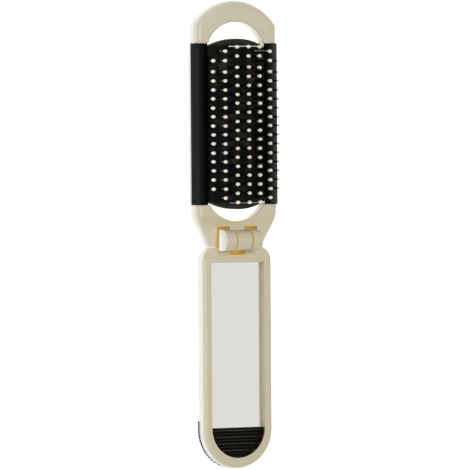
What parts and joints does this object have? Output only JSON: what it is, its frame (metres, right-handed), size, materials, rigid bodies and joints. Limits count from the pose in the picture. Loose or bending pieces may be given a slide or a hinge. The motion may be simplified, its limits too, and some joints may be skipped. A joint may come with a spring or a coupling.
{
  "type": "folding hairbrush with mirror",
  "caption": "Folding pocket hairbrush: a ringed head with a ball-tipped bristle cushion hinged to a flat handle that holds a rectangular mirror and ribbed rubber grips.",
  "frame": {"origin": "middle of the underside of the open brush's overall box", "axes": "+Z out of the bristle and mirror side, +Y along the brush from handle to head, +X across it; the brush lies open on its back"},
  "size_m": [0.037, 0.1868, 0.0173],
  "materials": {
    "ivory_plastic": "satin moulded ivory",
    "side_grip_plastic": "satin black",
    "carrier_plastic": "matte black",
    "cushion_rubber": "matte black rubber",
    "bristle_nylon": "glossy black nylon",
    "tip_plastic": "cream dipped tip",
    "pin_steel": "drawn steel",
    "adhesive_foam": "white foam tape",
    "mirror_glass": "silvered glass",
    "grip_rubber": "ribbed black rubber"
  },
  "bodies": {
    "handle": {"handle_frame": "ivory_plastic", "hinge_pin": "pin_steel", "mirror_adhesive": "adhesive_foam", "mirror_glass": "mirror_glass", "thumb_grip": "grip_rubber", "back_grip": "grip_rubber"},
    "head": {"head_frame": "ivory_plastic", "side_grip_left": "side_grip_plastic", "side_grip_right": "side_grip_plastic", "cushion_carrier": "carrier_plastic", "bristle_cushion": "cushion_rubber", "bristles_column_1": "bristle_nylon", "bristles_column_2": "bristle_nylon", "bristles_column_3": "bristle_nylon", "bristles_column_4": "bristle_nylon", "bristles_column_5": "bristle_nylon", "bristles_column_6": "bristle_nylon", "bristles_column_7": "bristle_nylon", "tips_column_1": "tip_plastic", "tips_column_2": "tip_plastic", "tips_column_3": "tip_plastic", "tips_column_4": "tip_plastic", "tips_column_5": "tip_plastic", "tips_column_6": "tip_plastic", "tips_column_7": "tip_plastic"}
  },
  "joints": [
    {"name": "fold", "type": "hinge", "parent": "handle", "child": "head", "pos_m": [0, -0.0022, 0.01042], "axis": [1, 0, 0], "range_deg": [0, 180]}
  ]
}
